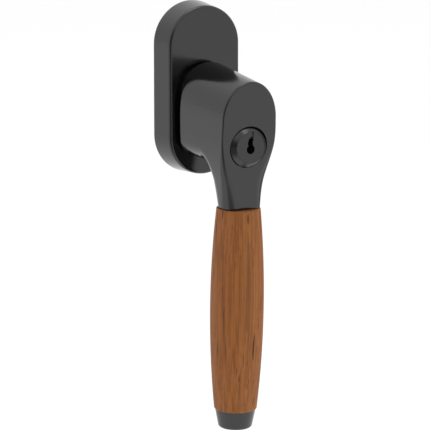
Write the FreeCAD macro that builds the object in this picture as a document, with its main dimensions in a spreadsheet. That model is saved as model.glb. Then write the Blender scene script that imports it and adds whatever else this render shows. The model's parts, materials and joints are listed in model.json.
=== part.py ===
import FreeCAD, Part

import math
import os
import re

import Sketcher

# Lockable window handle. Millimetres. The spindle axis is the Y axis: +Y runs into the sash, -Y out of it,
# +Z is up and +X is right, seen from the front. The origin is the centre of the rosette's back face.
# "Depth" is the distance out from the sash, so a depth of 10 is y = -10. The handle points down: closed.

SIZES = {
    # rosette cover
    "rose_length": 70.8,
    "rose_width": 33.8,
    "rose_depth": 12.0,
    "rose_wall": 1.5,
    "rose_draft": 4.5,
    "rose_edge": 1.25,
    "cover_clearance": 0.4,
    # how far a cutting tool runs past what it cuts
    "overrun": 1.0,
    # base plate with its hub and lugs
    "plate_thick": 1.5,
    "screw_pitch": 43.0,
    "screw_hole_radius": 2.65,
    "lug_radius": 5.0,
    "lug_length": 3.0,
    "boss_wall": 1.0,
    "boss_height": 1.5,
    "flange_rim": 2.5,
    "flange_depth": 4.5,
    "hub_wall": 2.0,
    "hub_beyond": 0.5,
    "hub_clearance": 0.5,
    "back_sink_depth": 2.6,
    "bush_start": 11.0,
    "bush_wall": 0.94,
    "bush_recess": 0.2,
    "notch_fit": 0.3,
    "notch_room": 0.4,
    # detent
    "detent_depth": 7.0,
    "detent_bore": 1.85,
    "detent_tower": 2.9,
    "detent_stack": 7.3,
    "ball_radius": 1.75,
    "ball_gap": 0.1,
    "coil_radius": 1.2,
    "coil_wire": 0.25,
    "coil_turns": 4.0,
    "detent_plug_length": 1.4,
    "groove_radius": 1.9,
    "groove_sink": 0.7,
    "groove_run": 0.6,
    # drive sleeve and square spindle
    "sleeve_radius": 7.0,
    "sleeve_start": 0.2,
    "sleeve_end": 30.0,
    "running_fit": 0.06,
    "square_side": 7.0,
    "square_fit": 0.05,
    "spindle_length": 40.0,
    "spindle_rest": 12.0,
    "spindle_chamfer": 0.6,
    "washer_rim": 2.2,
    "washer_room": 0.2,
    "washer_fit": 0.15,
    "washer_thick": 0.6,
    "washer_end_gap": 0.02,
    "circlip_set": 0.7,
    "circlip_thick": 0.9,
    "circlip_stand": 1.8,
    "circlip_bite": 0.6,
    "circlip_gap": 5.0,
    "axial_gap": 0.1,
    # neck, face and stem
    "neck_gap": 1.75,
    "cavity_room": 0.3,
    "cavity_end_room": 0.4,
    "neck_side_wall": 3.3,
    "neck_crown_wall": 2.0,
    "neck_fullness": 0.65,
    "neck_widest": 8.0,
    "neck_shoulder_in": 0.15,
    "neck_shoulder_slope": 0.06,
    "neck_waist": 20.8,
    "neck_waist_slope": 0.26,
    "neck_stem_slope": 0.1,
    "neck_bottom": 25.5,
    "neck_edge": 2.3,
    "face_depth": 47.84,
    "face_lean": 4.87,
    "face_width": 24.3,
    "face_fullness": 0.55,
    "face_widest": 6.0,
    "face_shoulder_in": 0.15,
    "face_shoulder_slope": 0.08,
    "face_waist": 20.2,
    "face_waist_slope": 0.24,
    "face_stem_slope": 0.12,
    "face_top": 9.0,
    "shoulder_drop": 18.0,
    "waist_drop": 31.0,
    "face_edge": 0.8,
    "stem_heel": 8.0,
    "stem_width": 15.0,
    "stem_spread": 0.1,
    "stem_edge": 5.5,
    "throat_radius": 4.2,
    "under_edge": 7.4,
    # neck back plate
    "back_plate_inset": 2.4,
    "back_plate_crown": 10.0,
    "back_plate_corner": 6.0,
    "back_plate_thick": 1.5,
    "back_plate_sink": 0.15,
    "back_plate_fit": 0.15,
    "back_screw_x": 8.7,
    "back_screw_z": 17.5,
    "back_screw_radius": 1.25,
    "back_screw_head": 2.1,
    "back_screw_length": 7.0,
    "back_screw_end_gap": 0.5,
    "driver_slot_depth": 0.4,
    "driver_slot_width": 0.6,
    # lock
    "lock_drop": 17.45,
    "lock_proud": 1.73,
    "lock_seat": 36.0,
    "housing_wall": 1.9,
    "housing_rear_wall": 1.2,
    "housing_floor": 1.6,
    "housing_fit": 0.34,
    "plug_radius": 6.2,
    "plug_step": 0.8,
    "plug_step_depth": 1.5,
    "nose_land": 0.12,
    "tail_radius": 3.0,
    "tail_room": 0.2,
    "tail_flat": 2.2,
    "web_thick": 3.5,
    "key_width": 2.5,
    "key_ward": 0.3,
    "key_root": 1.8,
    "key_top": 4.3,
    "key_step": 0.4,
    "key_root_drop": 0.7,
    "key_depth": 18.0,
    "wafer_width": 4.8,
    "wafer_sink": 0.8,
    "wafer_thick": 0.85,
    "wafer_pitch": 2.2,
    "wafer_setback": 3.17,
    "wafer_fit": 0.1,
    "wafer_window": 3.6,
    "wafer_bar": 1.5,
    "cam_lift": 1.0,
    "cam_thick": 3.2,
    "cam_floor": 1.0,
    "cam_room": 0.3,
    "cam_offset": 1.9,
    "cam_rim": 1.5,
    "cam_pin_radius": 1.1,
    "cam_pin_length": 4.0,
    "cam_pin_root": 0.5,
    "cam_clearance": 0.4,
    # locking slider
    "slider_width": 11.0,
    "slider_fit": 0.15,
    "slider_gap": 0.2,
    "slider_thick": 3.4,
    "slider_room": 3.5,
    "slider_web": 1.6,
    "tongue_gap": 0.9,
    "tongue_width": 4.8,
    "slot_fit": 0.1,
    "slot_end_room": 0.4,
    # grip
    "grip_setback": 8.04,
    "grip_top_drop": 43.25,
    "grip_lean": 1.58,
    "grip_length": 83.65,
    "grip_top_radius": 8.9,
    "grip_belly": 10.85,
    "grip_belly_at": 41.0,
    "grip_end_radius": 8.7,
    "grip_rim": 0.3,
    "rod_radius": 3.0,
    "rod_clearance": 0.2,
    "rod_up": 10.0,
    "rod_in_cap": 4.8,
    "rod_end_gap": 0.3,
    "cap_step": 0.35,
    "cap_taper": 1.55,
    "cap_length": 7.9,
    "cap_edge": 1.2,
    "cap_washer_radius": 5.5,
    "cap_washer_thick": 1.0,
    "cap_washer_fit": 0.1,
    "pin_radius": 1.0,
    "pin_length": 8.0,
    "pin_offset": 5.6,
    "grub_radius": 2.0,
    "grub_gap": 0.2,
    "grub_nip": 0.1,
    # cover clips
    "leaf_thick": 0.5,
    "leaf_width": 8.0,
    "leaf_height": 6.0,
    "leaf_foot": 4.0,
    "leaf_room": 0.2,
}

# Sizes that follow from the ones above, where one piece fits another.
FITTED = {
    # depths, stacked out from the rosette
    "neck_back": "rose_depth + neck_gap",
    "back_plate_rear": "neck_back + back_plate_sink",
    "back_plate_front": "back_plate_rear + back_plate_thick",
    "slider_back": "back_plate_front + slider_gap",
    "slider_front": "slider_back + slider_thick",
    "notch_start": "slider_back - notch_room",
    "hub_depth": "slider_front + hub_beyond",
    "cavity_end": "hub_depth + cavity_end_room",
    "cam_back": "slider_front + cam_lift",
    "cam_front": "cam_back + cam_thick",
    "tail_end": "cam_back + cam_floor",
    "web_front": "cam_front + cam_room",
    "lock_back": "web_front + web_thick",
    "plug_back": "lock_back + housing_floor",
    "plug_shoulder": "lock_seat + plug_step_depth",
    "lock_nose": "face_depth + lock_proud",
    "wafer_start": "lock_nose - wafer_setback",
    "circlip_start": "sleeve_start + circlip_set",
    "grip_top_depth": "face_depth - grip_setback",
    "stem_back": "grip_top_depth - stem_heel",
    # the hub, and what goes around and inside it
    "sleeve_bore": "sleeve_radius + running_fit",
    "hub_radius": "sleeve_bore + bush_wall + hub_wall",
    "flange_radius": "hub_radius + flange_rim",
    "cavity_radius": "hub_radius + cavity_room",
    "washer_radius": "sleeve_radius + washer_rim",
    "back_sink_radius": "washer_radius + washer_room",
    "detent_reach": "sleeve_radius + detent_stack",
    "neck_width": "2 * (cavity_radius + neck_side_wall)",
    "neck_top": "cavity_radius + neck_crown_wall",
    "notch_width": "tongue_width + 2 * notch_fit",
    # lock
    "housing_radius": "plug_radius + housing_wall",
    "plug_rear": "plug_radius - plug_step",
    "housing_rear": "plug_rear + housing_rear_wall",
    "wafer_height": "2 * (plug_rear - wafer_sink)",
    "cam_radius": "cam_offset + cam_pin_radius + cam_rim",
    "cam_reach": "cam_offset * sqrt(0.5)",
    "slot_middle": "lock_drop + cam_reach",
    "slot_half": "cam_pin_radius + slot_fit",
    "slider_top": "hub_radius + slider_room",
    "slider_bottom": "slot_middle + slot_half + slider_web",
    "tongue_tip": "hub_radius + tongue_gap",
    # grip
    "grip_bore": "rod_radius + rod_clearance",
    "grub_length": "grip_top_drop - lock_drop - housing_radius - rod_up - grub_gap - grub_nip",
    "washer_pocket": "cap_washer_radius + cap_washer_fit",
    "cap_radius": "grip_end_radius - cap_step",
    "cap_tip": "cap_radius - cap_taper",
}

ACROSS = FreeCAD.Vector(1, 0, 0)
OUTWARD = FreeCAD.Rotation(ACROSS, 90)
UPRIGHT = FreeCAD.Rotation()
WAFERS = 5
KEY_STAIRS = 3

# An edge is square to an axis if its box is flatter than FLAT, and is on a face if it is within TOUCH of it.
FLAT = 0.01
TOUCH = 0.02

doc = FreeCAD.newDocument("window_handle")
sheet = doc.addObject("Spreadsheet::Sheet", "Sizes")
cells = {**SIZES, **{alias: f"={text}" for alias, text in FITTED.items()}}
for row, (alias, value) in enumerate(cells.items(), 1):
    sheet.set(f"A{row}", alias)
    sheet.set(f"B{row}", str(value))
    sheet.setAlias(f"B{row}", alias)
doc.recompute()

nodes = []


def formula(text):
    """The text of an expression, with each named size pointed at its cell."""
    return re.sub(r"[a-z_]+", lambda word: f"Sizes.{word[0]}" if word[0] in cells else word[0], text)


def bind(thing, **sizes):
    for name, text in sizes.items():
        thing.setExpression(name, formula(text))


def place(thing, turn, x="0", depth="0", z="0"):
    thing.Placement = FreeCAD.Placement(FreeCAD.Vector(), turn)
    thing.setExpression("Placement.Base.x", formula(x))
    thing.setExpression("Placement.Base.y", formula(f"-({depth})"))
    thing.setExpression("Placement.Base.z", formula(z))


def node(thing, name):
    thing.Label = name
    nodes.append(thing)
    return thing


def rod(name, radius, depth, length, x="0", z="0"):
    """A cylinder that starts at a depth and runs outwards."""
    piece = doc.addObject("Part::Cylinder", name)
    bind(piece, Radius=radius, Height=length)
    place(piece, OUTWARD, x, depth, z)
    return piece


def post(name, radius, low, length, x="0", depth="0"):
    """An upright cylinder."""
    piece = doc.addObject("Part::Cylinder", name)
    bind(piece, Radius=radius, Height=length)
    place(piece, UPRIGHT, x, depth, low)
    return piece


def block(name, width, depth, thick, low, high, x="0"):
    """A box, centred across on x, that runs outwards from a depth."""
    piece = doc.addObject("Part::Box", name)
    bind(piece, Length=width, Width=thick, Height=f"({high}) - ({low})")
    place(piece, UPRIGHT, f"({x}) - ({width}) / 2", f"({depth}) + ({thick})", low)
    return piece


def fuse(name, pieces):
    piece = doc.addObject("Part::MultiFuse", name)
    piece.Shapes = pieces
    return piece


def cut(name, base, tools):
    piece = doc.addObject("Part::Cut", name)
    piece.Base = base
    piece.Tool = tools[0] if len(tools) == 1 else fuse(name + "_tools", tools)
    return piece


def plane_of(body, role):
    return next(item for item in body.Origin.OriginFeatures if item.Role == role)


def new_sketch(body, name):
    """A sketch on the body's own XZ plane: its x is the body's X, its y the body's Z."""
    drawing = body.newObject("Sketcher::SketchObject", name)
    drawing.AttachmentSupport = [(plane_of(body, "XZ_Plane"), "")]
    drawing.MapMode = "FlatFace"
    return drawing


def number(text):
    """The value of an expression made of named sizes, for a sketch's first guess."""
    spare = doc.getObject("Guess") or doc.addObject("App::FeaturePython", "Guess")
    if "Value" not in spare.PropertiesList:
        spare.addProperty("App::PropertyFloat", "Value")
    spare.setExpression("Value", formula(text))
    doc.recompute([spare])
    return spare.Value


def hold_point(drawing, line, end, radius, along, key):
    """Fixes one end of a line at a radius from the axis and a distance along it."""
    if radius == "0":
        drawing.addConstraint(Sketcher.Constraint("PointOnObject", line, end, -2))
    else:
        spot = drawing.addConstraint(Sketcher.Constraint("DistanceX", -1, 1, line, end, number(radius)))
        drawing.renameConstraint(spot, f"radius_{key}")
        drawing.setExpression(f"Constraints.radius_{key}", formula(radius))
    if along == "0":
        drawing.addConstraint(Sketcher.Constraint("PointOnObject", line, end, -1))
    else:
        spot = drawing.addConstraint(Sketcher.Constraint("DistanceY", -1, 1, line, end, number(along)))
        drawing.renameConstraint(spot, f"along_{key}")
        drawing.setExpression(f"Constraints.along_{key}", formula(along))


def turned(name, corners, belly=None):
    """A body turned about its own Z axis from a closed outline of (radius, distance along) corners."""
    body = doc.addObject("PartDesign::Body", name + "_body")
    drawing = new_sketch(body, name + "_outline")
    spots = [FreeCAD.Vector(number(radius), number(along), 0) for radius, along in corners]
    for index, spot in enumerate(spots):
        end = spots[(index + 1) % len(spots)]
        if belly and index == belly[0]:
            middle = FreeCAD.Vector(number(belly[1]), number(belly[2]), 0)
            drawing.addGeometry(Part.Arc(spot, middle, end), False)
        else:
            drawing.addGeometry(Part.LineSegment(spot, end), False)
    ends = {}
    for index in range(len(corners)):
        first, last = drawing.getPoint(index, 1), drawing.getPoint(index, 2)
        forward = first.distanceToPoint(spots[index]) < last.distanceToPoint(spots[index])
        ends[index] = (1, 2) if forward else (2, 1)
    for index, (radius, along) in enumerate(corners):
        after = (index + 1) % len(corners)
        drawing.addConstraint(Sketcher.Constraint("Coincident", index, ends[index][1], after, ends[after][0]))
        hold_point(drawing, index, ends[index][0], radius, along, index)
    if belly:
        guide = drawing.addGeometry(Part.Point(middle), True)
        hold_point(drawing, guide, 1, belly[1], belly[2], "belly")
        drawing.addConstraint(Sketcher.Constraint("PointOnObject", guide, 1, belly[0]))
    turn = body.newObject("PartDesign::Revolution", name + "_turned")
    turn.Profile = drawing
    turn.ReferenceAxis = (drawing, ["V_Axis"])
    turn.Angle = 360
    doc.recompute()
    return body


def round_edges(body, name, radius, wanted):
    """Rounds the edges of the body's last feature that the test picks."""
    base = body.Tip
    picked = [f"Edge{i}" for i, edge in enumerate(base.Shape.Edges, 1) if wanted(edge)]
    fillet = body.newObject("PartDesign::Fillet", name)
    fillet.Base = (base, picked)
    bind(fillet, Radius=radius)
    doc.recompute()
    return fillet


def stadium(body, name, length, width):
    """A sketch of a slot shape, upright and centred, of a full length and width."""
    drawing = new_sketch(body, name)
    long, wide = number(length), number(width)
    straight, end = (long - wide) / 2, wide / 2
    up, down = FreeCAD.Vector(0, straight, 0), FreeCAD.Vector(0, -straight, 0)
    side, face = FreeCAD.Vector(end, 0, 0), FreeCAD.Vector(0, 0, 1)
    drawing.addGeometry(Part.LineSegment(down + side, up + side), False)
    drawing.addGeometry(Part.ArcOfCircle(Part.Circle(up, face, end), 0, math.pi), False)
    drawing.addGeometry(Part.LineSegment(up - side, down - side), False)
    drawing.addGeometry(Part.ArcOfCircle(Part.Circle(down, face, end), math.pi, 2 * math.pi), False)
    for first, first_end, second, second_end in ((0, 2, 1, 1), (1, 2, 2, 1), (2, 2, 3, 1), (3, 2, 0, 1)):
        drawing.addConstraint(Sketcher.Constraint("Tangent", first, first_end, second, second_end))
    drawing.addConstraint(Sketcher.Constraint("PointOnObject", 1, 3, -2))
    drawing.addConstraint(Sketcher.Constraint("Symmetric", 1, 3, 3, 3, -1, 1))
    drawing.addConstraint(Sketcher.Constraint("Vertical", 0))
    spot = drawing.addConstraint(Sketcher.Constraint("Radius", 1, end))
    drawing.renameConstraint(spot, "end_radius")
    drawing.setExpression("Constraints.end_radius", formula(f"({width}) / 2"))
    spot = drawing.addConstraint(Sketcher.Constraint("DistanceY", 3, 3, 1, 3, 2 * straight))
    drawing.renameConstraint(spot, "straight")
    drawing.setExpression("Constraints.straight", formula(f"({length}) - ({width})"))
    return drawing


def make_rosette_cover():
    body = doc.addObject("PartDesign::Body", "rosette_cover")
    outer = stadium(body, "cover_outline", "rose_length", "rose_width")
    pad = body.newObject("PartDesign::Pad", "cover_block")
    pad.Profile = outer
    bind(pad, Length="rose_depth", TaperAngle="-rose_draft")
    doc.recompute()
    front = pad.Shape.BoundBox.YMin
    round_edges(body, "cover_edge", "rose_edge", lambda edge: edge.BoundBox.YMax < front + FLAT)
    inner = stadium(body, "cover_inside", "rose_length - 2 * rose_wall", "rose_width - 2 * rose_wall")
    hollow = body.newObject("PartDesign::Pocket", "cover_hollow")
    hollow.Profile = inner
    hollow.Reversed = True
    bind(hollow, Length="rose_depth - rose_wall", TaperAngle="-rose_draft")
    doc.recompute()
    centre = new_sketch(body, "cover_hole")
    centre.addGeometry(Part.Circle(FreeCAD.Vector(0, 0, 0), FreeCAD.Vector(0, 0, 1), 10), False)
    centre.addConstraint(Sketcher.Constraint("Coincident", 0, 3, -1, 1))
    spot = centre.addConstraint(Sketcher.Constraint("Radius", 0, 10))
    centre.renameConstraint(spot, "hole")
    centre.setExpression("Constraints.hole", formula("hub_radius + hub_clearance"))
    through = body.newObject("PartDesign::Pocket", "cover_through")
    through.Profile = centre
    through.Reversed = True
    bind(through, Length="rose_depth + overrun")
    doc.recompute()
    node(body, "rosette_cover")


def make_base_plate():
    plate = doc.addObject("PartDesign::Body", "plate_body")
    gap = "2 * rose_wall + 2 * cover_clearance + 2 * rose_depth * tan(rose_draft)"
    pad = plate.newObject("PartDesign::Pad", "plate_pad")
    pad.Profile = stadium(plate, "plate_outline", f"rose_length - ({gap})", f"rose_width - ({gap})")
    bind(pad, Length="plate_thick")
    doc.recompute()
    solids = [plate,
              rod("hub_flange", "flange_radius", "0", "flange_depth"),
              rod("hub_tube", "hub_radius", "0", "hub_depth"),
              post("detent_towers", "detent_tower", "-detent_reach", "2 * detent_reach",
                   depth="detent_depth")]
    holes = [rod("hub_bore", "sleeve_bore", "-overrun", "hub_depth + 2 * overrun"),
             rod("bush_bore", "sleeve_bore + bush_wall", "bush_start", "hub_depth"),
             rod("back_sink", "back_sink_radius", "-overrun", "back_sink_depth + overrun"),
             post("detent_holes", "detent_bore", "-detent_reach - overrun", "2 * (detent_reach + overrun)",
                  depth="detent_depth"),
             block("hub_notches", "notch_width", "notch_start", "hub_depth", "-hub_radius - overrun",
                   "hub_radius + overrun")]
    for side, sign in (("upper", ""), ("lower", "-")):
        z = f"{sign}screw_pitch / 2"
        solids.append(rod(f"{side}_lug", "lug_radius", "-lug_length", "lug_length + plate_thick", z=z))
        solids.append(rod(f"{side}_boss", "lug_radius + boss_wall", "0", "plate_thick + boss_height", z=z))
        holes.append(rod(f"{side}_screw_hole", "screw_hole_radius", "-lug_length - overrun",
                         "lug_length + plate_thick + boss_height + 2 * overrun", z=z))
    node(cut("base_plate", fuse("plate_solids", solids), holes), "base_plate")


def make_bearing_bush():
    outer = rod("bush_outer", "sleeve_bore + bush_wall", "bush_start", "hub_depth - bush_start - bush_recess")
    inner = rod("bush_inner", "sleeve_bore", "bush_start - overrun", "hub_depth")
    node(cut("bearing_bush", outer, [inner]), "bearing_bush")


def make_detent():
    """Ball, spring and plug above the hub and the same below it."""
    balls, springs, plugs = [], [], []
    centre = "(sleeve_radius + ball_gap + ball_radius)"
    room = f"(detent_reach - detent_plug_length - ball_radius - {centre} - 2 * coil_wire)"
    for side, sign in (("upper", ""), ("lower", "-")):
        ball = doc.addObject("Part::Sphere", f"{side}_ball")
        bind(ball, Radius="ball_radius")
        place(ball, UPRIGHT, "0", "detent_depth", f"{sign}({centre})")
        balls.append(ball)
        coil = doc.addObject("Part::Helix", f"{side}_coil_line")
        bind(coil, Pitch=f"{room} / coil_turns", Height=room, Radius="coil_radius")
        ring = doc.addObject("Part::Circle", f"{side}_coil_ring")
        bind(ring, Radius="coil_wire")
        place(ring, OUTWARD, "coil_radius", "0", "0")
        coil_solid = doc.addObject("Part::Sweep", f"{side}_coil")
        coil_solid.Sections = [ring]
        coil_solid.Spine = (coil, ["Edge1"])
        coil_solid.Solid = True
        coil_solid.Frenet = True
        start = f"{centre} + ball_radius + coil_wire"
        low = start if sign == "" else f"-({start}) - {room}"
        place(coil_solid, UPRIGHT, "0", "detent_depth", low)
        springs.append(coil_solid)
        outer = "detent_reach" if sign == "" else "-detent_reach + detent_plug_length"
        plugs.append(post(f"{side}_plug", "detent_bore", f"{outer} - detent_plug_length",
                          "detent_plug_length", depth="detent_depth"))
    node(fuse("detent_balls", balls), "detent_balls")
    node(fuse("detent_springs", springs), "detent_springs")
    node(fuse("detent_plugs", plugs), "detent_plugs")


def make_cover_clips():
    """Two bent spring leaves on the base plate that grip the ends of the cover."""
    leaves = []
    inside = "rose_length / 2 - rose_wall - rose_depth * tan(rose_draft) - cover_clearance - leaf_room"
    for side, sign in (("upper", 1), ("lower", -1)):
        far, near = inside, f"({inside}) - leaf_thick"
        foot = f"({inside}) - leaf_foot"
        span = (near, far) if sign > 0 else (f"-({far})", f"-({near})")
        foot_span = (foot, far) if sign > 0 else (f"-({far})", f"-({foot})")
        leaves.append(block(f"{side}_leaf", "leaf_width", "plate_thick", "leaf_height", *span))
        leaves.append(block(f"{side}_foot", "leaf_width", "plate_thick", "leaf_thick", *foot_span))
    node(fuse("cover_clips", leaves), "cover_clips")


def make_drive_sleeve():
    body = rod("sleeve_body", "sleeve_radius", "sleeve_start", "sleeve_end - sleeve_start")
    hole = "square_side + 2 * square_fit"
    tools = [block("sleeve_square", hole, "-overrun", "sleeve_end + 2 * overrun", f"-({hole}) / 2",
                   f"({hole}) / 2")]
    groove = rod("circlip_groove", "sleeve_radius + overrun", "circlip_start", "circlip_thick")
    core = rod("groove_core", "sleeve_radius - circlip_bite", "circlip_start", "circlip_thick")
    tools.append(cut("circlip_seat", groove, [core]))
    for index in range(4):
        angle = math.radians(90 * index)
        dent = doc.addObject("Part::Cylinder", f"index_groove_{index}")
        bind(dent, Radius="groove_radius", Height="2 * (groove_radius + groove_run)")
        reach = "(sleeve_radius + groove_radius - groove_sink)"
        place(dent, OUTWARD, f"{reach} * {round(math.sin(angle))}",
              "detent_depth - groove_radius - groove_run", f"{reach} * {round(math.cos(angle))}")
        tools.append(dent)
    node(cut("drive_sleeve", body, tools), "drive_sleeve")


def make_thrust_washer():
    start = "back_sink_depth - washer_thick - washer_end_gap"
    outer = rod("washer_outer", "washer_radius", start, "washer_thick")
    inner = rod("washer_inner", "sleeve_radius + washer_fit", "0", "back_sink_depth")
    node(cut("thrust_washer", outer, [inner]), "thrust_washer")


def make_circlip():
    rim = "sleeve_radius + circlip_stand"
    start, run = "circlip_start - overrun", "circlip_thick + 2 * overrun"
    outer = rod("circlip_ring", rim, "circlip_start", "circlip_thick")
    inner = rod("circlip_bore", "sleeve_radius - circlip_bite", start, run)
    gap = block("circlip_opening", "circlip_gap", start, run, "0", f"{rim} + overrun")
    node(cut("sleeve_circlip", outer, [inner, gap]), "sleeve_circlip")


def make_spindle():
    """The square bar that turns the sash lock, with chamfered ends."""
    half = "square_side / 2"
    bar = block("spindle_bar", "square_side", "-spindle_rest", "spindle_length", f"-{half}", half)
    doc.recompute()
    ends = doc.addObject("Part::Chamfer", "square_spindle")
    ends.Base = bar
    size = sheet.spindle_chamfer
    ends.Edges = [(index, size, size) for index, edge in enumerate(bar.Shape.Edges, 1)
                  if edge.BoundBox.YLength < FLAT]
    node(ends, "square_spindle")


# The handle body is one casting. Its sides join two outlines, one at the back of the neck and one in the
# leaning face. A side view then cuts the underside of the neck, the throat and the back of the stem. The
# outlines run on below the stem's seat, and the side view's slab past the casting, for clean cuts.
BELOW_STEM = 4.0
SLAB_PAST = 20.0


def bezier(*points):
    curve = Part.BezierCurve()
    curve.setPoles(list(points))
    return curve.toShape()


def half_outline(top, fullness, width, widest, spots, spot):
    """Edges down the right side: a crown to the widest place, then runs through (x, z, slope) spots."""
    crown = widest + fullness * (top - widest)
    edges = [bezier(spot(0, top), spot(fullness * width, top), spot(width, crown), spot(width, widest))]
    x, z, slope = width, widest, 0.0
    for next_x, next_z, next_slope in spots:
        third = (z - next_z) / 3
        edges.append(bezier(spot(x, z), spot(x - slope * third, z - third),
                            spot(next_x + next_slope * third, next_z + third), spot(next_x, next_z)))
        x, z, slope = next_x, next_z, next_slope
    return edges


def closed_outline(half, bottom_right, bottom_left):
    mirror = FreeCAD.Matrix(-1, 0, 0, 0, 0, 1, 0, 0, 0, 0, 1, 0, 0, 0, 0, 1)
    left = [edge.transformGeometry(mirror) for edge in half]
    return Part.Wire(half + [Part.makeLine(bottom_right, bottom_left)] + left[::-1])


def grip_place():
    """Where the grip's own frame stands: its Z runs down the grip from the stem."""
    base = FreeCAD.Vector(0, -sheet.grip_top_depth, -sheet.grip_top_drop)
    return FreeCAD.Placement(base, FreeCAD.Rotation(ACROSS, 180 + sheet.grip_lean))


def handle_blank():
    low = -sheet.grip_top_drop - BELOW_STEM
    wide, broad, stem = sheet.neck_width / 2, sheet.face_width / 2, sheet.stem_width / 2
    shoulder, waist = -sheet.shoulder_drop, -sheet.waist_drop

    def on_neck(x, z):
        return FreeCAD.Vector(x, -sheet.neck_back, z)

    def on_face(x, z):
        return FreeCAD.Vector(x, -face_depth_at(z), z)

    neck_spots = [(wide - sheet.neck_shoulder_in, shoulder, sheet.neck_shoulder_slope),
                  (sheet.neck_waist / 2, waist, sheet.neck_waist_slope),
                  (stem + sheet.stem_spread, low, sheet.neck_stem_slope)]
    face_spots = [(broad - sheet.face_shoulder_in, shoulder, sheet.face_shoulder_slope),
                  (sheet.face_waist / 2, waist, sheet.face_waist_slope),
                  (stem - sheet.stem_spread, low, sheet.face_stem_slope)]
    neck = half_outline(sheet.neck_top, sheet.neck_fullness, wide, -sheet.neck_widest, neck_spots, on_neck)
    face = half_outline(sheet.face_top, sheet.face_fullness, broad, -sheet.face_widest, face_spots, on_face)
    wires = [closed_outline(neck, on_neck(neck_spots[-1][0], low), on_neck(-neck_spots[-1][0], low)),
             closed_outline(face, on_face(face_spots[-1][0], low), on_face(-face_spots[-1][0], low))]
    skin = Part.makeLoft(wires, True, True)
    return skin.common(side_view())


def face_depth_at(z):
    """The leaning face's depth at a height. The face has its named depth at the lock."""
    return sheet.face_depth + math.tan(math.radians(sheet.face_lean)) * (z + sheet.lock_drop)


def side_view():
    """A slab across the handle that follows its side view."""
    across = 2 * sheet.neck_width
    rear, top = sheet.neck_back - sheet.overrun, sheet.neck_top + SLAB_PAST
    under, back, throat = -sheet.neck_bottom, sheet.stem_back, sheet.throat_radius
    seat = grip_place()
    down = seat.Rotation.multVec(FreeCAD.Vector(0, 0, 1))
    start = seat.Base

    def spot(depth, z):
        return FreeCAD.Vector(-across / 2, -depth, z)

    def on_seat(depth):
        fall = (start.y + depth) * down.y / down.z
        return spot(depth, start.z + fall)

    front = sheet.face_depth + SLAB_PAST
    corner = throat * (1 - math.sqrt(0.5))
    edges = [Part.makeLine(spot(rear, under), spot(back - throat, under)),
             Part.Arc(spot(back - throat, under), spot(back - corner, under - corner),
                      spot(back, under - throat)).toShape(),
             Part.makeLine(spot(back, under - throat), on_seat(back)),
             Part.makeLine(on_seat(back), on_seat(front)),
             Part.makeLine(on_seat(front), spot(front, top)),
             Part.makeLine(spot(front, top), spot(rear, top)),
             Part.makeLine(spot(rear, top), spot(rear, under))]
    return Part.Face(Part.Wire(edges)).extrude(FreeCAD.Vector(across, 0, 0))


def edge_at(edge, **limits):
    """True if the edge's box keeps within limits such as depth_low=... or z_high=..."""
    box = edge.BoundBox
    reach = {"depth": (-box.YMax, -box.YMin), "z": (box.ZMin, box.ZMax)}
    for name, limit in limits.items():
        axis, end = name.split("_")
        low, high = reach[axis]
        if end == "low" and low < limit - TOUCH or end == "high" and high > limit + TOUCH:
            return False
    return True


def crease_radius(z):
    """The face's edge is crisp around the lock and softens down the stem."""
    start, end = -sheet.lock_drop, -sheet.grip_top_drop
    share = min(max((z - start) / (end - start), 0), 1)
    return sheet.face_edge + share * (sheet.stem_edge - sheet.face_edge)


def rounded_casting():
    """The casting with its underside rounded, its face creased and its back edge eased."""
    blank = handle_blank().Solids[0]
    low = [edge for edge in blank.Edges
           if edge_at(edge, depth_high=sheet.stem_back, z_high=-sheet.neck_bottom)
           and edge.BoundBox.XLength < sheet.stem_width / 2]
    casting = doc.addObject("Part::Feature", "casting")
    casting.Shape = blank.makeFillet(sheet.under_edge, low)

    creased = doc.addObject("Part::Fillet", "creased_casting")
    creased.Base = casting
    seat = grip_place()
    rims = []
    for index, edge in enumerate(casting.Shape.Edges, 1):
        ends = [edge.Vertexes[end].Point for end in (0, -1)]
        on_face = all(abs(-end.y - face_depth_at(end.z)) < TOUCH for end in ends)
        if on_face and seat.inverse().multVec(edge.CenterOfMass).z < -TOUCH:
            rims.append((index, crease_radius(ends[0].z), crease_radius(ends[1].z)))
    creased.Edges = rims
    doc.recompute()

    eased = doc.addObject("Part::Fillet", "eased_casting")
    eased.Base = creased
    eased.Edges = [(index, sheet.neck_edge, sheet.neck_edge)
                   for index, edge in enumerate(creased.Shape.Edges, 1)
                   if edge_at(edge, depth_high=sheet.neck_back)]
    doc.recompute()
    return eased


def back_plate_solid(name, fit, depth, thick):
    """A flat plate inside the neck's outline, grown all round by a fit, with rounded corners."""
    inset = f"(back_plate_inset - {fit})"
    slab = block(name + "_slab", f"neck_width - 2 * {inset}", depth, thick, f"-neck_bottom + {inset}",
                 f"neck_top - {inset}")
    doc.recompute()
    piece = doc.addObject("Part::Fillet", name)
    piece.Base = slab
    crown, corner = sheet.back_plate_crown, sheet.back_plate_corner
    edges = [(index, edge) for index, edge in enumerate(slab.Shape.Edges, 1) if edge.BoundBox.YLength > FLAT]
    piece.Edges = [(index, crown, crown) if edge.CenterOfMass.z > 0 else (index, corner, corner)
                   for index, edge in edges if max(edge.BoundBox.ZLength, edge.BoundBox.XLength) < FLAT]
    return piece


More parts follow.
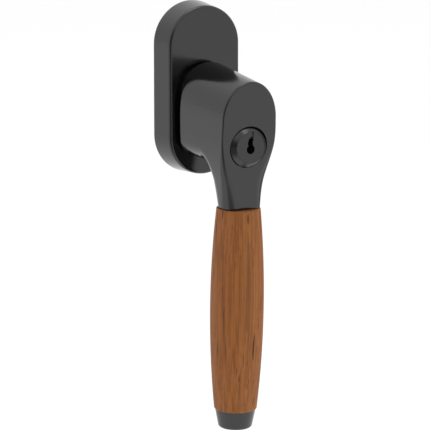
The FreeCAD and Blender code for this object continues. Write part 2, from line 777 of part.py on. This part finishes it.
def along_grip(name, radius, start, length, offset="0"):
    """A cylinder in the grip's own frame, from a distance below the stem's seat."""
    piece = doc.addObject("Part::Cylinder", name)
    bind(piece, Radius=radius, Height=length)
    piece.Placement = FreeCAD.Placement(FreeCAD.Vector(), FreeCAD.Rotation(ACROSS, 180 + sheet.grip_lean))
    y = f"-grip_top_depth - ({start}) * -sin(grip_lean) + ({offset}) * -cos(grip_lean)"
    z = f"-grip_top_drop - ({start}) * cos(grip_lean) - ({offset}) * sin(grip_lean)"
    piece.setExpression("Placement.Base.y", formula(y))
    piece.setExpression("Placement.Base.z", formula(z))
    piece.setExpression("Placement.Rotation.Angle", formula("180 + grip_lean"))
    return piece


def seat_on_grip(body):
    body.Placement = FreeCAD.Placement(FreeCAD.Vector(), FreeCAD.Rotation(ACROSS, 180 + sheet.grip_lean))
    body.setExpression("Placement.Base.y", formula("-grip_top_depth"))
    body.setExpression("Placement.Base.z", formula("-grip_top_drop"))
    body.setExpression("Placement.Rotation.Angle", formula("180 + grip_lean"))
    return body


def screw_head(name, x):
    """The cone of a countersunk head, widest at the neck back plate's rear face."""
    cone = doc.addObject("Part::Cone", name)
    bind(cone, Radius1="back_screw_head", Radius2="back_screw_radius",
         Height="back_screw_head - back_screw_radius")
    place(cone, OUTWARD, x, "back_plate_rear", "-back_screw_z")
    return cone


def make_handle_body():
    blank = rounded_casting()
    recess = back_plate_solid("plate_recess", "back_plate_fit", "rose_depth", "back_plate_front - rose_depth")
    tools = [recess,
             rod("hub_cavity", "cavity_radius", "rose_depth", "cavity_end - rose_depth"),
             rod("sleeve_seat", "sleeve_radius", "hub_depth", "sleeve_end - hub_depth"),
             block("slider_pocket", "slider_width + 2 * slider_fit", "rose_depth",
                   "slider_front + slider_gap - rose_depth", "-slider_bottom - overrun",
                   "-sleeve_radius - overrun"),
             rod("cam_pocket", "cam_radius + cam_clearance", "slider_back", "web_front - slider_back",
                 z="-lock_drop"),
             rod("tail_hole", "tail_radius + tail_room", "slider_back", "lock_seat - slider_back",
                 z="-lock_drop"),
             rod("lock_bore_rear", "housing_rear", "lock_back", "lock_nose - lock_back", z="-lock_drop"),
             rod("lock_bore", "housing_radius + housing_fit", "lock_seat", "lock_nose", z="-lock_drop"),
             along_grip("rod_bore", "rod_radius", "-rod_up", "rod_up + overrun"),
             along_grip("grub_bore", "grub_radius", "-rod_up - grub_gap - grub_length - overrun",
                        "grub_length + 2 * overrun"),
             along_grip("pin_bore", "pin_radius", "-pin_length / 2", "pin_length", "-pin_offset")]
    for side, x in (("left", "-back_screw_x"), ("right", "back_screw_x")):
        tools.append(rod(f"{side}_screw_bore", "back_screw_radius", "neck_back", "back_screw_length",
                         x=x, z="-back_screw_z"))
    node(cut("handle_body", blank, tools), "handle_body")


def make_neck_back_plate():
    """The plate that closes the back of the neck, and its two countersunk screws."""
    plate = back_plate_solid("plate_blank", "0", "back_plate_rear", "back_plate_thick")
    holes = [rod("plate_hub_hole", "cavity_radius", "rose_depth", "hub_depth")]
    screws = []
    for side, x in (("left", "-back_screw_x"), ("right", "back_screw_x")):
        holes.append(screw_head(f"{side}_screw_sink", x))
        holes.append(rod(f"{side}_plate_hole", "back_screw_radius", "neck_back", "back_screw_length",
                         x=x, z="-back_screw_z"))
        screws.append(screw_head(f"{side}_screw_head", x))
        screws.append(rod(f"{side}_screw_shank", "back_screw_radius", "back_plate_rear",
                          "back_screw_length - back_screw_end_gap", x=x, z="-back_screw_z"))
    node(cut("neck_back_plate", plate, holes), "neck_back_plate")
    slots = [block(f"{side}_driver_slot", "2 * back_screw_head", "rose_depth",
                   "back_plate_rear - rose_depth + driver_slot_depth",
                   "-back_screw_z - driver_slot_width / 2", "-back_screw_z + driver_slot_width / 2", x=x)
             for side, x in (("left", "-back_screw_x"), ("right", "back_screw_x"))]
    node(cut("back_plate_screws", fuse("screw_blanks", screws), slots), "back_plate_screws")


def seat_on_lock(body):
    place(body, OUTWARD, z="-lock_drop")
    return body


def make_lock_housing():
    land = "plug_radius + running_fit + nose_land"
    tail_bore, rear_bore = "tail_radius + running_fit", "plug_rear + running_fit"
    front_bore = "plug_radius + running_fit"
    shoulder, back = "plug_shoulder - axial_gap", "plug_back - axial_gap"
    blank = seat_on_lock(turned("housing_blank", [
        (tail_bore, "lock_back"), ("housing_rear", "lock_back"), ("housing_rear", "lock_seat"),
        ("housing_radius", "lock_seat"), ("housing_radius", f"lock_nose - housing_radius + {land}"),
        (land, "lock_nose"), (front_bore, "lock_nose"), (front_bore, shoulder), (rear_bore, shoulder),
        (rear_bore, back), (tail_bore, back)]))
    notch = block("housing_notch", "key_width", "lock_nose - key_step", "key_step + overrun",
                  "-lock_drop + plug_rear", "-lock_drop + housing_radius + overrun")
    node(cut("lock_housing", blank, [notch]), "lock_housing")


def tail_key(name, fit):
    """The flatted end of the plug's tail."""
    round_part = rod(name + "_round", "tail_radius", "tail_end", "cam_front - tail_end", z="-lock_drop")
    flat_part = block(name + "_flat", "2 * tail_flat", "tail_end", "cam_front - tail_end",
                      "-lock_drop - tail_radius", "-lock_drop + tail_radius")
    piece = doc.addObject("Part::Common", name)
    piece.Base, piece.Tool = round_part, flat_part
    return piece


def make_lock_plug():
    blank = seat_on_lock(turned("plug_blank", [
        ("0", "cam_front"), ("tail_radius", "cam_front"), ("tail_radius", "plug_back"),
        ("plug_rear", "plug_back"),
        ("plug_rear", "plug_shoulder"), ("plug_radius", "plug_shoulder"), ("plug_radius", "lock_nose"),
        ("0", "lock_nose")]))
    start = "lock_nose - key_depth"
    low, high = "-lock_drop - key_root_drop", "-lock_drop + key_top"
    stair = f"(({high}) - ({low})) / {KEY_STAIRS}"
    tools = [rod("key_root_hole", "key_root", start, "key_depth + overrun", z=low)]
    for step in range(KEY_STAIRS):
        shift = "-key_ward / 2" if step % 2 else "key_ward / 2"
        tools.append(block(f"key_slot_{step}", "key_width - key_ward", start, "key_depth + overrun",
                           f"{low} + {stair} * {step}", f"{low} + {stair} * {step + 1}", x=shift))
    tools.append(block("key_step_slot", "key_width", "lock_nose - key_step", "key_step + overrun", high,
                       "-lock_drop + plug_radius + overrun"))
    for step in range(WAFERS):
        tools.append(block(f"wafer_slot_{step}", "wafer_width + 2 * wafer_fit",
                           f"wafer_start - wafer_pitch * {step} - wafer_fit", "wafer_thick + 2 * wafer_fit",
                           "-lock_drop - wafer_height / 2 - wafer_fit",
                           "-lock_drop + wafer_height / 2 + wafer_fit"))
    whole = fuse("plug_with_tail", [blank, tail_key("plug_tail", "0")])
    node(cut("lock_plug", whole, tools), "lock_plug")


def make_wafers():
    plates, windows = [], []
    for step in range(WAFERS):
        depth = f"wafer_start - wafer_pitch * {step}"
        plates.append(block(f"wafer_{step}", "wafer_width", depth, "wafer_thick",
                            "-lock_drop - wafer_height / 2", "-lock_drop + wafer_height / 2"))
        windows.append(block(f"wafer_window_{step}", "wafer_window", f"{depth} - wafer_fit",
                             "wafer_thick + 2 * wafer_fit",
                             "-lock_drop - wafer_height / 2 + wafer_bar",
                             "-lock_drop + wafer_height / 2 - wafer_bar"))
    node(cut("lock_wafers", fuse("wafer_plates", plates), windows), "lock_wafers")


def make_locking_cam():
    disc = rod("cam_disc", "cam_radius", "cam_back", "cam_thick", z="-lock_drop")
    pin = rod("cam_pin", "cam_pin_radius", "cam_back - cam_pin_length", "cam_pin_length + cam_pin_root",
              x="-cam_reach", z="-slot_middle")
    node(cut("locking_cam", fuse("cam_solids", [disc, pin]), [tail_key("cam_socket", "0")]), "locking_cam")


def make_locking_slider():
    plate = block("slider_plate", "slider_width", "slider_back", "slider_thick",
                  "-slider_bottom", "-slider_top")
    tongue = block("slider_tongue", "tongue_width", "slider_back", "slider_thick",
                   "-slider_top", "-tongue_tip")
    slot = block("slider_slot", "cam_offset - cam_reach + 2 * (cam_pin_radius + slot_end_room)",
                 "slider_back - overrun", "slider_thick + 2 * overrun",
                 "-slot_middle - slot_half", "-slot_middle + slot_half", x="-(cam_offset + cam_reach) / 2")
    node(cut("locking_slider", fuse("slider_solids", [plate, tongue]), [slot]), "locking_slider")


def make_grip():
    washer_seat = "grip_length - cap_washer_thick"
    sleeve = seat_on_grip(turned("grip_sleeve", [
        ("grip_bore", "0"), ("grip_top_radius - grip_rim", "0"), ("grip_top_radius", "grip_rim"),
        ("grip_end_radius", "grip_length - grip_rim"), ("grip_end_radius - grip_rim", "grip_length"),
        ("washer_pocket", "grip_length"), ("washer_pocket", washer_seat), ("grip_bore", washer_seat)],
        belly=(2, "grip_belly", "grip_belly_at")))
    pin_hole = along_grip("grip_pin_hole", "pin_radius", "-overrun", "pin_length / 2 + overrun",
                          "-pin_offset")
    node(cut("grip_with_pin_hole", sleeve, [pin_hole]), "grip_sleeve")
    node(along_grip("tie_rod", "rod_radius", "-rod_up", "rod_up + grip_length + rod_in_cap"), "tie_rod")
    node(along_grip("locating_pin", "pin_radius", "-pin_length / 2", "pin_length", "-pin_offset"),
         "locating_pin")
    node(along_grip("lock_grub_screw", "grub_radius", "-rod_up - grub_gap - grub_length", "grub_length"),
         "lock_grub_screw")
    washer = along_grip("cap_washer_disc", "cap_washer_radius", washer_seat, "cap_washer_thick")
    hole = along_grip("cap_washer_hole", "rod_radius + cap_washer_fit", f"{washer_seat} - overrun",
                      "cap_washer_thick + 2 * overrun")
    node(cut("cap_washer", washer, [hole]), "cap_washer")


def make_end_cap():
    hole_end = "grip_length + rod_in_cap + rod_end_gap"
    tip = "grip_length + cap_length"
    body = seat_on_grip(turned("end_cap", [
        ("0", hole_end), ("rod_radius", hole_end), ("rod_radius", "grip_length"),
        ("cap_radius", "grip_length"), ("cap_tip", tip), ("0", tip)]))
    low = sheet.grip_length + sheet.cap_length
    round_edges(body, "cap_edge_round", "cap_edge", lambda edge: edge.BoundBox.ZMin > low - FLAT)
    node(body, "end_cap")


def build():
    for make in (make_rosette_cover, make_base_plate, make_bearing_bush, make_detent, make_cover_clips,
                 make_drive_sleeve, make_thrust_washer, make_circlip, make_spindle, make_handle_body,
                 make_neck_back_plate, make_lock_housing, make_lock_plug, make_wafers, make_locking_cam,
                 make_locking_slider, make_grip, make_end_cap):
        make()
    doc.removeObject("Guess")
    doc.recompute()


def check_and_write():
    failed = [item.Name for item in doc.Objects if "Invalid" in item.State or "Error" in item.State]
    failed += [thing.Label for thing in nodes if thing.Shape.isNull() or not thing.Shape.isValid()]
    if failed:
        raise RuntimeError("these did not build: " + ", ".join(failed))
    os.makedirs("parts", exist_ok=True)
    for thing in nodes:
        thing.Shape.exportStep(f"parts/{thing.Label}.step")
        print(thing.Label, len(thing.Shape.Solids), round(thing.Shape.Volume, 1))


build()
check_and_write()
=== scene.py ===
import json
import math

import bpy
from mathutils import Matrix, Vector


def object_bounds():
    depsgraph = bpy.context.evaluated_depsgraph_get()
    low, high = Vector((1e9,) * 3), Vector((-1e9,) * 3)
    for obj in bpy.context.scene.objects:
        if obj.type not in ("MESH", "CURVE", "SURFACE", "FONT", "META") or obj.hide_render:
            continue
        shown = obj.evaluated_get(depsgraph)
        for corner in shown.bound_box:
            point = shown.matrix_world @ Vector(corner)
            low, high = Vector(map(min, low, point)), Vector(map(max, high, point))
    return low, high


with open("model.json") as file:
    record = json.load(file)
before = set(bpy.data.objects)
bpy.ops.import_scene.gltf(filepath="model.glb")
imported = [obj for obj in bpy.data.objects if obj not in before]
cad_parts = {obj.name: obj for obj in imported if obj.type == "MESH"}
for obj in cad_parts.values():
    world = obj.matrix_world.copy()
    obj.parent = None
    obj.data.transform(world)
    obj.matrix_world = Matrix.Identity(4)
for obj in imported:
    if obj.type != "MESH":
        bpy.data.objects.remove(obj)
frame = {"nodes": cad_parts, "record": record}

CAD_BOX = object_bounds()
NODES = frame["nodes"]
MM = 0.001


# ---------------------------------------------------------------- shader maths

class Wire:
    """A value in a node tree. Sums and products of wires add Math nodes to the tree that they belong to."""

    def __init__(self, tree, socket=None):
        self.tree, self.socket = tree, socket

    def add(self, kind, settings, sockets, out=0):
        """Adds a node of that type. Its settings are made first, then its sockets get values or links."""
        node = self.tree.nodes.new(kind)
        for name, setting in settings.items():
            setattr(node, name, setting)
        for key, value in sockets.items():
            if isinstance(value, Wire):
                self.tree.links.new(value.socket, node.inputs[key])
            else:
                node.inputs[key].default_value = value
        return Wire(self.tree, node.outputs[out])

    def math(self, operation, first, second):
        return self.add("ShaderNodeMath", {"operation": operation}, {0: first, 1: second})

    def vector_math(self, operation, *vectors, out=0):
        return self.add("ShaderNodeVectorMath", {"operation": operation}, dict(enumerate(vectors)), out)

    def __add__(self, other):
        return self.math("ADD", self, other)

    def __sub__(self, other):
        return self.math("SUBTRACT", self, other)

    def __rsub__(self, other):
        return self.math("SUBTRACT", other, self)

    def __mul__(self, other):
        return self.math("MULTIPLY", self, other)

    __radd__ = __add__
    __rmul__ = __mul__

    def larger(self, other):
        return self.math("MAXIMUM", self, other)

    def step(self, low, high):
        """0 below low, 1 above high and smooth between."""
        return self.add("ShaderNodeMapRange", {"interpolation_type": "SMOOTHSTEP"}, {0: self, 1: low, 2: high})

    def blend(self, low, high):
        """The colour low where this is 0 and high where it is 1."""
        low, high = (colour if isinstance(colour, Wire) else (*colour, 1) for colour in (low, high))
        return self.add("ShaderNodeMix", {"data_type": "RGBA"}, {0: self, 6: low, 7: high}, out=2)

    def noise(self, scale, detail, stretch=(1, 1, 1)):
        """Noise with about so many blobs to the metre. A small stretch along an axis draws them out along it."""
        spot = self.add("ShaderNodeMapping", {}, {"Vector": self, "Scale": stretch})
        return self.add("ShaderNodeTexNoise", {}, {"Vector": spot, "Scale": scale, "Detail": detail})


def new_material(name, **fixed):
    """A material, its Principled shader with fixed sockets, and a wire of the object's own coordinates."""
    material = bpy.data.materials.new(name)
    material.use_nodes = True
    tree = material.node_tree
    shader = tree.nodes["Principled BSDF"]
    for key, value in fixed.items():
        shader.inputs[key.replace("_", " ")].default_value = value
    spot = Wire(tree).add("ShaderNodeTexCoord", {}, {}, out="Object")
    return material, shader, spot


def feed(shader, wire, key):
    wire.tree.links.new(wire.socket, shader.inputs[key])


def bump(shader, height, strength, distance):
    normal = height.add("ShaderNodeBump", {}, {"Strength": strength, "Distance": distance, "Height": height})
    feed(shader, normal, "Normal")


# ---------------------------------------------------------------- finishes

COAT_DARK, COAT_LIGHT = (0.0026, 0.0027, 0.0029), (0.0040, 0.0041, 0.0044)
COAT_SMOOTHEST, COAT_PATCH_ROUGHNESS, COAT_PEEL_ROUGHNESS = 0.10, 0.05, 0.02


def satin_black():
    """Satin black powder coat over a casting: a fine orange peel and a slight wander in its sheen."""
    material, shader, spot = new_material("satin_black_coat", Specular_IOR_Level=0.74)
    patches = spot.noise(scale=60.0, detail=2.0)
    peel = spot.noise(scale=2600.0, detail=1.0)
    feed(shader, patches.blend(COAT_DARK, COAT_LIGHT), "Base Color")
    feed(shader, patches * COAT_PATCH_ROUGHNESS + peel * COAT_PEEL_ROUGHNESS + COAT_SMOOTHEST, "Roughness")
    bump(shader, peel, strength=0.10, distance=0.04 * MM)
    return material


PLATING_DARK, PLATING_LIGHT = (0.003, 0.003, 0.003), (0.006, 0.006, 0.006)
PLATING_SMOOTHEST, PLATING_SMEAR_ROUGHNESS = 0.16, 0.10


def lock_black():
    """Black plating on the lock, with smears in its sheen and fine marks."""
    material, shader, spot = new_material("black_plating", Specular_IOR_Level=0.7)
    marks = spot.noise(scale=3000.0, detail=1.0)
    smears = spot.noise(scale=350.0, detail=3.0)
    feed(shader, smears.blend(PLATING_DARK, PLATING_LIGHT), "Base Color")
    feed(shader, smears * PLATING_SMEAR_ROUGHNESS + PLATING_SMOOTHEST, "Roughness")
    bump(shader, marks, strength=0.08, distance=0.03 * MM)
    return material


WOOD_DARK, WOOD_LIGHT = (0.235, 0.078, 0.018), (0.285, 0.096, 0.023)
WOOD_FINE_GRAIN, WOOD_BANDS = (0.350, 0.126, 0.033), (0.410, 0.162, 0.046)
WOOD_STREAKS, WOOD_FLECKS, WOOD_PORES = (0.110, 0.036, 0.010), (0.120, 0.041, 0.011), (0.022, 0.009, 0.004)
WOOD_SMOOTHEST, WOOD_GRAIN_ROUGHNESS, WOOD_PORE_ROUGHNESS = 0.48, 0.15, 0.2
SHORT_PORE_SHARE, LONG_PORE_SHARE = 0.55, 0.85
GRAIN_HEIGHT = 0.5


def grip_wood():
    """Oiled mid-brown hardwood with straight fine grain and short dark pores along its length."""
    material, shader, spot = new_material("oiled_wood", Specular_IOR_Level=0.25)

    def grain(scale, detail, along):
        return spot.noise(scale, detail, stretch=(1, 1, along))

    tone = grain(scale=230.0, detail=2.0, along=0.014).step(low=0.32, high=0.68)
    fine = grain(scale=1350.0, detail=2.0, along=0.010)
    streaks = grain(scale=800.0, detail=1.0, along=0.012).step(low=0.60, high=0.70)
    flecks = grain(scale=2600.0, detail=1.0, along=0.12).step(low=0.55, high=0.75)
    bands = grain(scale=25.0, detail=2.0, along=0.3).step(low=0.45, high=0.75)
    short_pores = grain(scale=1500.0, detail=1.0, along=0.06).step(low=0.67, high=0.73)
    long_pores = grain(scale=760.0, detail=1.0, along=0.035).step(low=0.71, high=0.75)
    pores = (short_pores * SHORT_PORE_SHARE).larger(long_pores * LONG_PORE_SHARE)

    colour = tone.blend(WOOD_DARK, WOOD_LIGHT)
    for mask, share, layer in ((fine.step(low=0.36, high=0.64), 1.0, WOOD_FINE_GRAIN),
                               (streaks, 0.45, WOOD_STREAKS),
                               (flecks, 0.35, WOOD_FLECKS),
                               (bands, 0.25, WOOD_BANDS),
                               (pores, 1.0, WOOD_PORES)):
        colour = (mask * share).blend(colour, layer)
    feed(shader, colour, "Base Color")
    feed(shader, fine * WOOD_GRAIN_ROUGHNESS + pores * WOOD_PORE_ROUGHNESS + WOOD_SMOOTHEST, "Roughness")
    bump(shader, fine * GRAIN_HEIGHT - pores, strength=0.25, distance=0.08 * MM)
    return material


SCRATCH_ROUGHNESS = 0.18


def metal(name, dark, light, smoothest, scale=900.0, stretch=(1, 1, 1)):
    """Bare or plated metal: clouded in colour, with scratches of that scale and stretch."""
    material, shader, spot = new_material(name, Metallic=1.0)
    clouds = spot.noise(scale=120.0, detail=3.0)
    scratches = spot.noise(scale, detail=2.0, stretch=stretch)
    feed(shader, clouds.blend(dark, light), "Base Color")
    feed(shader, scratches * SCRATCH_ROUGHNESS + smoothest, "Roughness")
    bump(shader, scratches, strength=0.15, distance=0.03 * MM)
    return material


NYLON_DARK, NYLON_LIGHT = (0.62, 0.60, 0.54), (0.70, 0.69, 0.63)
NYLON_SMOOTHEST, NYLON_CLOUD_ROUGHNESS = 0.45, 0.1


def nylon():
    """Moulded off-white nylon, faintly uneven."""
    material, shader, spot = new_material("moulded_nylon", Specular_IOR_Level=0.4)
    clouds = spot.noise(scale=150.0, detail=2.0)
    feed(shader, clouds.blend(NYLON_DARK, NYLON_LIGHT), "Base Color")
    feed(shader, clouds * NYLON_CLOUD_ROUGHNESS + NYLON_SMOOTHEST, "Roughness")
    bump(shader, spot.noise(scale=1800.0, detail=1.0), strength=0.1, distance=0.03 * MM)
    return material


FINISHES = {
    "satin_black": satin_black(),
    "lock_black": lock_black(),
    "wood": grip_wood(),
    "zinc": metal("cast_zinc", (0.30, 0.31, 0.33), (0.42, 0.43, 0.45), smoothest=0.42, scale=700.0),
    "steel": metal("plated_steel", (0.42, 0.42, 0.43), (0.55, 0.55, 0.56), smoothest=0.28, scale=1400.0,
                   stretch=(1, 0.08, 1)),
    "spring_steel": metal("spring_steel", (0.22, 0.22, 0.24), (0.32, 0.32, 0.34), smoothest=0.3),
    "wafer_brass": metal("nickel_silver", (0.27, 0.26, 0.24), (0.37, 0.36, 0.33), smoothest=0.35),
    "nylon": nylon(),
}


def dress_nodes():
    """Every CAD node wears the finish of its material slot."""
    slots = {part["node"]: part["material_slot"] for part in frame["record"]["subparts"]}
    for name, thing in NODES.items():
        for slot in thing.material_slots:
            slot.material = FINISHES[slots[name]]


# ---------------------------------------------------------------- stage, light and camera

# The room is white, but dim around the viewer and at the far right, and a little dim at the back left. The world's
# light is dimmed there, and the floor's colour is painted dark in the same directions as painted shade. Each dim
# place has the direction of its middle and its inner and outer radius in degrees, and the share of light it takes.
DIM_PLACES = (
    {"azimuth": -46, "elevation": -8, "inner": 22, "outer": 44, "share": 0.85},
    {"azimuth": 104, "elevation": -12, "inner": 10, "outer": 28, "share": 0.85},
    {"azimuth": -145, "elevation": -12, "inner": 10, "outer": 55, "share": 0.2},
)
HANDLE_MIDDLE = Vector((0, -0.03, -0.02))
FLOOR_PLACE, FLOOR_SIZE = Vector((0, 2, CAD_BOX[0][2] - 0.12)), 14
FLOOR_WHITE, FLOOR_PAINTED_SHADE = (0.9, 0.9, 0.9), (0.01, 0.01, 0.01)
FLOOR_ROUGHNESS, FLOOR_GLOW = 0.7, 0.13
ROOM_WHITE, ROOM_DIM = (0.95, 0.95, 0.95), (0.02, 0.02, 0.02)
LAMP_PLACE, LAMP_TARGET = Vector((0.1, -0.2, 1.6)), Vector((0, -0.03, -0.05))
LAMP_SIZE, LAMP_POWER = 0.9, 5
VIEW_AZIMUTH, VIEW_ELEVATION, VIEW_DISTANCE = -29.23, 12.22, 1.2
VIEW_MIDDLE = Vector((0, -0.025, -0.050))
LENS, SENSOR_WIDTH = 248.15, 36
NEAR_CLIP, FAR_CLIP = 0.05, 40
# How far the camera aims to the right of the view's middle and above it, in widths of the view.
AIM_RIGHT, AIM_UP = -0.0125116, 0.0043023


def direction(azimuth, elevation):
    """The way from the handle to a place so many degrees to the right of its front, and so many up."""
    azimuth, elevation = math.radians(azimuth), math.radians(elevation)
    level = math.cos(elevation)
    return Vector((math.sin(azimuth) * level, -math.cos(azimuth) * level, math.sin(elevation)))


def dimness(towards):
    """How dim the room is in a direction from the handle, from 0 to 1."""
    total = 0.0
    for place in DIM_PLACES:
        middle = direction(place["azimuth"], place["elevation"])
        facing = towards.vector_math("DOT_PRODUCT", towards, middle, out="Value")
        outer, inner = (math.cos(math.radians(place[edge])) for edge in ("outer", "inner"))
        total = facing.step(outer, inner) * place["share"] + total
    return total


def add_floor():
    bpy.ops.mesh.primitive_plane_add(size=FLOOR_SIZE, location=FLOOR_PLACE)
    floor = bpy.context.object
    floor.name = "pale_floor"
    material, shader, spot = new_material("pale_floor", Roughness=FLOOR_ROUGHNESS,
                                          Emission_Color=(1, 1, 1, 1), Emission_Strength=FLOOR_GLOW)
    from_handle = spot.vector_math("ADD", spot, FLOOR_PLACE - HANDLE_MIDDLE)
    towards = from_handle.vector_math("NORMALIZE", from_handle)
    # Painted shade: the floor's colour is painted dark towards the dim places, so the handle reflects dark
    # surroundings there.
    feed(shader, dimness(towards).blend(FLOOR_WHITE, FLOOR_PAINTED_SHADE), "Base Color")
    floor.data.materials.append(material)


def add_world():
    world = bpy.data.worlds.new("white_room")
    world.use_nodes = True
    towards = Wire(world.node_tree).add("ShaderNodeTexCoord", {}, {}, out="Generated")
    feed(world.node_tree.nodes["Background"], dimness(towards).blend(ROOM_WHITE, ROOM_DIM), "Color")
    bpy.context.scene.world = world


def add_aimed(name, data, place, aim):
    """A lamp or camera at a place, facing along aim."""
    thing = bpy.data.objects.new(name, data)
    thing.location = place
    thing.rotation_euler = aim.to_track_quat("-Z", "Y").to_euler()
    bpy.context.collection.objects.link(thing)
    return thing


def add_lamp():
    """One broad soft lamp over the handle."""
    light = bpy.data.lights.new("overhead", "AREA")
    light.size, light.energy = LAMP_SIZE, LAMP_POWER
    add_aimed("overhead", light, LAMP_PLACE, LAMP_TARGET - LAMP_PLACE)


def add_camera():
    """A long lens from the front left and a little above."""
    data = bpy.data.cameras.new("view")
    data.lens, data.sensor_width = LENS, SENSOR_WIDTH
    data.clip_start, data.clip_end = NEAR_CLIP, FAR_CLIP
    back = direction(VIEW_AZIMUTH, VIEW_ELEVATION)
    right = Vector((0, 0, 1)).cross(back).normalized()
    up = back.cross(right)
    aim = (right * AIM_RIGHT + up * AIM_UP) * (SENSOR_WIDTH / LENS) - back
    bpy.context.scene.camera = add_aimed("view", data, VIEW_MIDDLE + back * VIEW_DISTANCE, aim)


dress_nodes()
add_floor()
add_world()
add_lamp()
add_camera()
bpy.context.scene.view_settings.view_transform = "Standard"
